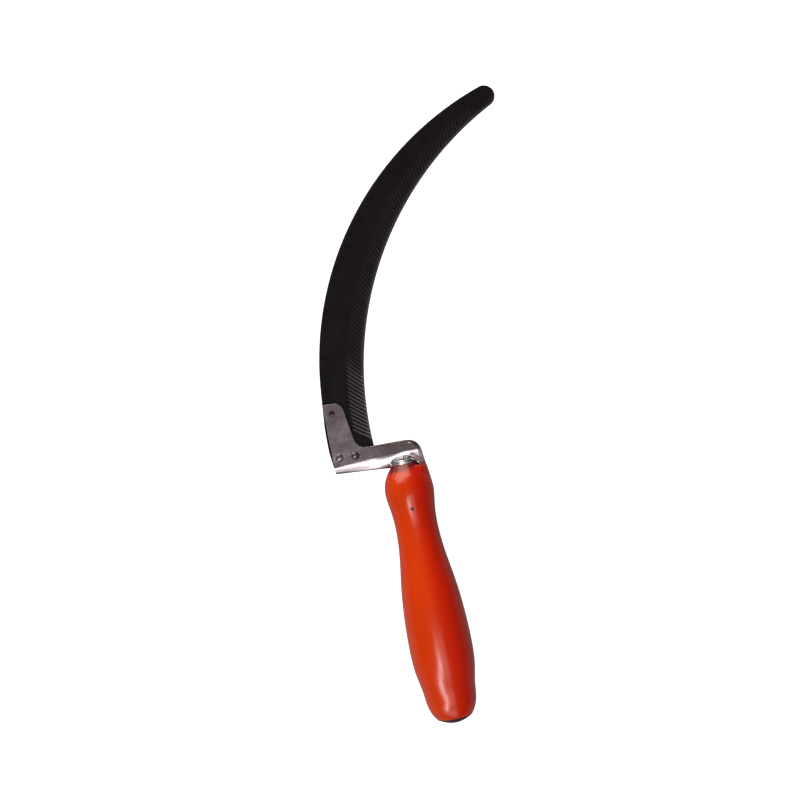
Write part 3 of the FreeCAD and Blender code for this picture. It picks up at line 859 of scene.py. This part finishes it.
def weld_bead(name, side):
    """The weld in the corner between the ferrule and the notch, laid as overlapping drops."""
    low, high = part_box("ferrule")
    radius = (high[0] - low[0]) / 2 / MM
    around = 20
    steps = 150
    turn = np.linspace(0, 2 * math.pi, around, endpoint=False)
    share = np.linspace(0, 1, steps)
    x = -6.1 + 13.6 * share
    y = arch_height(x) - 0.75
    sheet = fold_width(stations_at(x), y + 0.3)
    dome = np.sqrt(np.maximum(0.6, (radius - 0.5) ** 2 - x**2))
    # It lies between the sheet and the dome, and comes out under the sheet at its right end.
    inner = 0.45 * (sheet - 0.5) + 0.55 * dome
    follow = smoothstep(0.5, 3.5, x)
    z = (inner + follow * (sheet - 0.75 - inner)) * side
    path = np.stack([x, y, z], axis=1)
    forward = np.gradient(path, axis=0)
    forward /= np.linalg.norm(forward, axis=1)[:, None]
    pace = share + 0.018 * np.sin(share * 23 + side)
    drops = 0.09 * np.abs(np.sin(pace * 12 * math.pi + 0.8 * side))
    drops = drops + 0.08 * np.sin(share * 31 + side)
    size = (0.82 + drops) * np.minimum(1, np.minimum(7 * share + 0.2, 9 * (1 - share) + 0.25))
    rings = []
    for index in range(steps):
        up = np.array([0.0, 1.0, 0.0])
        out = np.cross(forward[index], up)
        out /= np.linalg.norm(out)
        up = np.cross(out, forward[index])
        circle = np.outer(np.cos(turn), up) * 0.95 + np.outer(np.sin(turn), out) * 1.05
        rings.append(path[index] + size[index] * circle)
    piece = ring_mesh(name, rings)
    points = read_points(piece.data)
    points += 0.07 * np.stack([smooth_noise(points, 1.6, seed) for seed in (22, 23, 24)], axis=1)
    write_points(piece.data, points)
    return fit_out(piece, "ferrule_steel")


def make_nail():
    """The nail, with a low domed head."""
    low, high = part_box("handle_nail")
    centre = node_centre("handle_nail")
    radius = (high[0] - low[0]) / 2 / MM
    top = high[2] / MM
    profile = [(0.8, low[2] / MM + 1.5), (0.85, top - 0.7)]
    profile += [(radius * 0.9, top - 0.6), (radius, top - 0.35)]
    profile += dome_profile(radius * 0.93, top - 0.25, top)
    piece = turned_piece("nail", [centre[0], centre[1], 0], "z", profile, 32, 0.03, 9)
    return fit_out(piece, "raw_steel", "handle_nail")


# ---------------------------------------------------------------- stage

def softbox(name, slopes, distance, width, height, radiance, shape="RECTANGLE", tint=(1, 1, 1)):
    """A soft light of a given brightness, aimed at the middle of the tool."""
    data = bpy.data.lights.new(name, "AREA")
    data.shape = shape
    data.size = width
    data.size_y = height
    data.color = tint
    area = width * height * (math.pi / 4 if shape == "DISK" else 1)
    data.energy = radiance * math.pi * area
    light = bpy.data.objects.new(name, data)
    place = TARGET + Vector((slopes[0], slopes[1], 1.0)).normalized() * distance
    light.location = place
    light.rotation_euler = (TARGET - place).to_track_quat("-Z", "Y").to_euler()
    light.visible_camera = False
    bpy.context.scene.collection.objects.link(light)


def make_world():
    """White to the camera, and a dim room in reflections."""
    world = bpy.data.worlds.new("studio")
    world.use_nodes = True
    tree = world.node_tree
    background = tree.nodes["Background"]
    background.inputs["Color"].default_value = (*SURROUND, 1)
    white = tree.nodes.new("ShaderNodeBackground")
    white.inputs["Color"].default_value = (1, 1, 1, 1)
    path = tree.nodes.new("ShaderNodeLightPath")
    either = tree.nodes.new("ShaderNodeMixShader")
    tree.links.new(path.outputs["Is Camera Ray"], either.inputs[0])
    tree.links.new(background.outputs[0], either.inputs[1])
    tree.links.new(white.outputs[0], either.inputs[2])
    tree.links.new(either.outputs[0], tree.nodes["World Output"].inputs["Surface"])
    bpy.context.scene.world = world


def make_stage():
    """A plain pale floor under the tool, the room, and the soft lights."""
    z = CAD_BOUNDS[0][2]
    half = 4.0
    corners = [(-half, -half, z), (half, -half, z), (half, half, z), (-half, half, z)]
    mesh = bpy.data.meshes.new("floor")
    mesh.from_pydata(corners, [], [(0, 1, 2, 3)])
    mesh.materials.append(pale_floor())
    floor = bpy.data.objects.new("floor", mesh)
    bpy.context.scene.collection.objects.link(floor)
    make_world()

    # Each light: its direction as slopes from the vertical, distance, width, height, radiance.
    softbox("key", (-0.42, 1.25), 1.5, 1.15, 0.8, 3.3, shape="DISK", tint=(1.0, 0.60, 0.34))
    softbox("sky", (-0.75, 2.1), 1.55, 2.0, 1.1, 4.6, tint=(1.0, 0.93, 0.86))
    softbox("window", (-0.42, -0.68), 1.0, 0.20, 0.66, 12.0)
    softbox("pane", (0.0, -0.47), 1.0, 0.46, 0.52, 2.2)
    softbox("low_window", (-0.45, -1.5), 1.2, 1.1, 0.5, 2.0)


def make_camera():
    """Square to the blade, turned so that the handle leans a little."""
    data = bpy.data.cameras.new("camera")
    data.lens = 48.6
    data.sensor_width = 36
    camera = bpy.data.objects.new("camera", data)
    camera.location = (0.00431, 0.1629, 0.540)
    camera.rotation_euler = (0, 0, math.radians(-11.4))
    bpy.context.scene.collection.objects.link(camera)
    bpy.context.scene.camera = camera


make_handle()
make_blade()
make_holder()
make_rivets()
make_ferrule()
weld_bead("weld_front", 1)
weld_bead("weld_back", -1)
make_nail()
NODES["tang"].data.materials.clear()
NODES["tang"].data.materials.append(MATERIALS["raw_steel"])
make_stage()
make_camera()
bpy.context.scene.view_settings.view_transform = "Standard"
